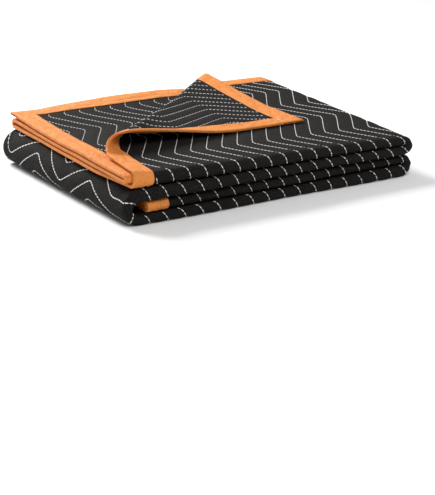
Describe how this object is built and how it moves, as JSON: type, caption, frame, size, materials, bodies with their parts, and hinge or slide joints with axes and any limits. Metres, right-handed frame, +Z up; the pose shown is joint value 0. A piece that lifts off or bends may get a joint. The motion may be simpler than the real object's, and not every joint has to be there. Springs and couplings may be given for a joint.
{
  "type": "moving pad",
  "caption": "Quilted moving pad folded for storage, with woven tape over its edges and one corner of its top layer turned back.",
  "frame": {"origin": "centre of the folded pad's box, on the surface that it lies on", "axes": "+X along the panels, from the large bulge to the pair of bends; +Y from the rounded front to the bound edges; +Z up"},
  "size_m": [0.5366, 0.4822, 0.1092],
  "materials": {
    "quilted_cloth": "matte black woven cloth, quilted with pale thread",
    "woven_tape": "finely ribbed orange woven tape"
  },
  "bodies": {
    "root": {"quilted_pad": "quilted_cloth", "binding_top_end": "woven_tape", "binding_inner_end": "woven_tape", "binding_turned_side": "woven_tape", "binding_under_side": "woven_tape"}
  },
  "joints": []
}
